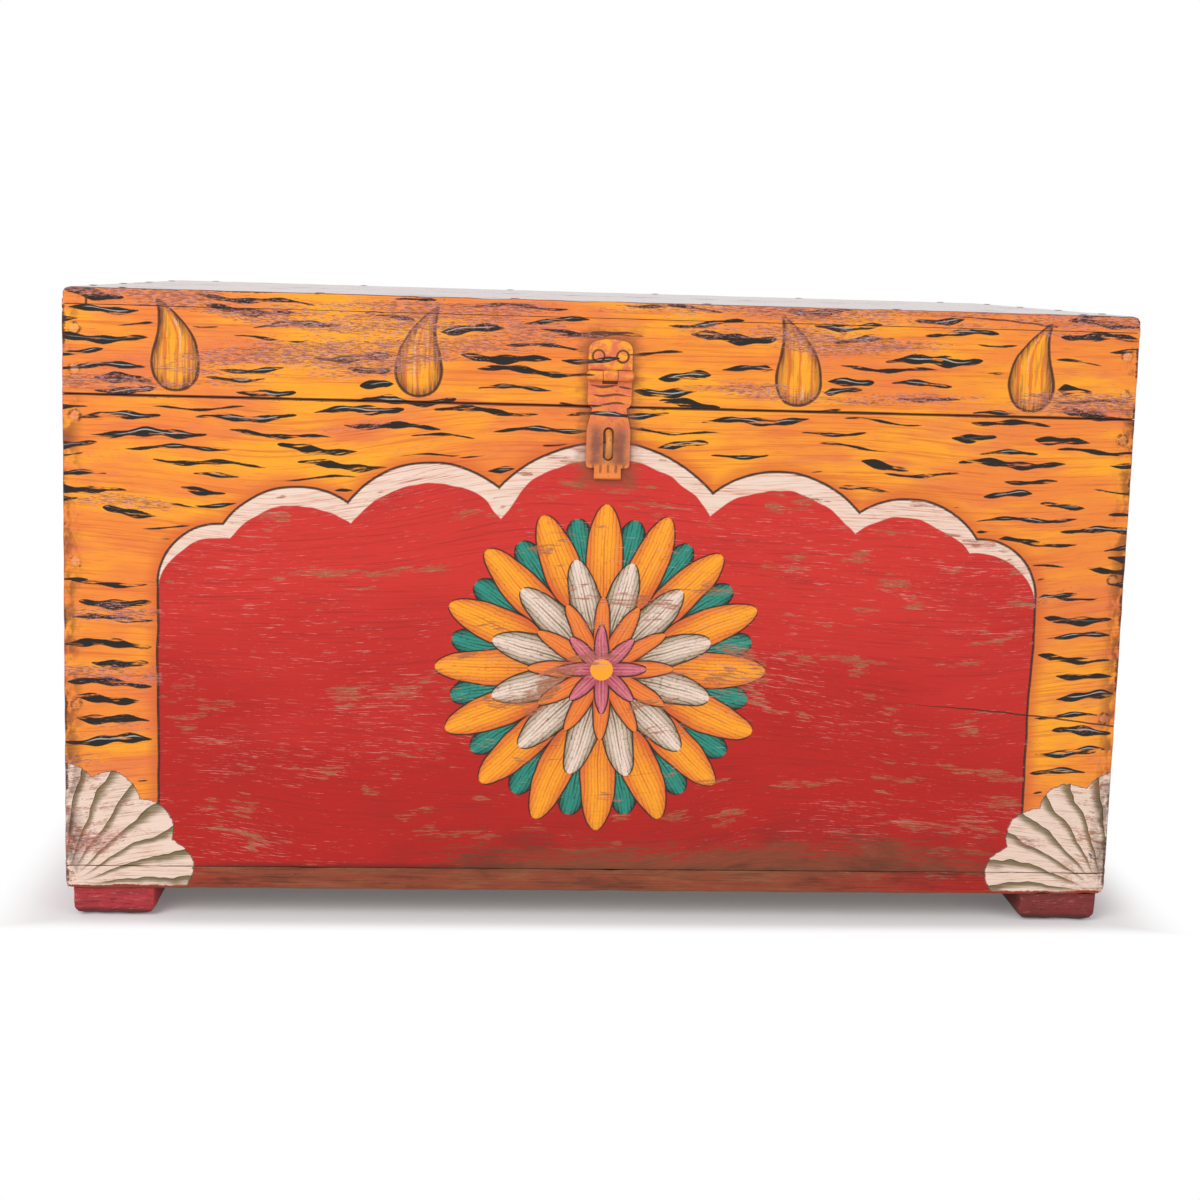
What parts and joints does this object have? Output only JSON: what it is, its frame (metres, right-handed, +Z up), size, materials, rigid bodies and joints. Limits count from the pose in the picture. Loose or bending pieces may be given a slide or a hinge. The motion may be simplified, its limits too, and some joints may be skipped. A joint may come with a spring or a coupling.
{
  "type": "storage trunk",
  "caption": "Painted wooden storage trunk: nailed boards on block feet, a box lid on rolled strap hinges, and an iron hasp that drops over a staple.",
  "frame": {"origin": "on the floor, under the middle of the box that holds the trunk and its ironwork", "axes": "+X along the long side to the right, +Y from the front to the back, +Z up"},
  "size_m": [0.76, 0.4433, 0.4516],
  "materials": {
    "painted_front": "worn painted wood, red field in an orange border",
    "painted_lid": "worn orange paint with dark brush dashes",
    "red_wood": "worn red paint on wood",
    "lid_top_wood": "rubbed reddish brown paint on wood",
    "foot_paint": "dark red paint on wood",
    "hasp_iron": "iron painted over in orange brown",
    "staple_iron": "iron painted over in ochre",
    "hinge_iron": "dark forged iron",
    "nail_iron": "forged iron, painted over where it shows"
  },
  "bodies": {
    "box": {"front_board": "painted_front", "back_board": "red_wood", "left_side_board": "red_wood", "right_side_board": "red_wood", "bottom_front_plank": "red_wood", "bottom_rear_plank": "red_wood", "foot_front_left": "foot_paint", "foot_front_right": "foot_paint", "foot_rear_left": "foot_paint", "foot_rear_right": "foot_paint", "staple": "staple_iron", "hinge_left_box_leaf": "hinge_iron", "hinge_right_box_leaf": "hinge_iron", "hinge_left_pin": "hinge_iron", "hinge_right_pin": "hinge_iron", "front_nails": "nail_iron", "back_nails": "nail_iron", "bottom_nails": "nail_iron", "foot_nails": "nail_iron", "hinge_box_nails": "hinge_iron"},
    "lid": {"lid_front_rail": "painted_lid", "lid_back_rail": "red_wood", "lid_left_rail": "red_wood", "lid_right_rail": "red_wood", "lid_top_front_plank": "lid_top_wood", "lid_top_rear_plank": "lid_top_wood", "hinge_left_lid_leaf": "hinge_iron", "hinge_right_lid_leaf": "hinge_iron", "hasp_plate": "hasp_iron", "hasp_pin": "hasp_iron", "lid_corner_nails": "nail_iron", "lid_top_nails": "nail_iron", "hinge_lid_nails": "hinge_iron", "hasp_plate_nails": "hasp_iron"},
    "hasp": {"hasp_flap": "hasp_iron"}
  },
  "joints": [
    {"name": "lid_hinge", "type": "hinge", "parent": "box", "child": "lid", "pos_m": [0, 0.2169, 0.37715], "axis": [-1, 0, 0], "range_deg": [0, 105]},
    {"name": "hasp_hinge", "type": "hinge", "parent": "lid", "child": "hasp", "pos_m": [0, -0.212, 0.3993], "axis": [-1, 0, 0], "range_deg": [0, 170]}
  ]
}
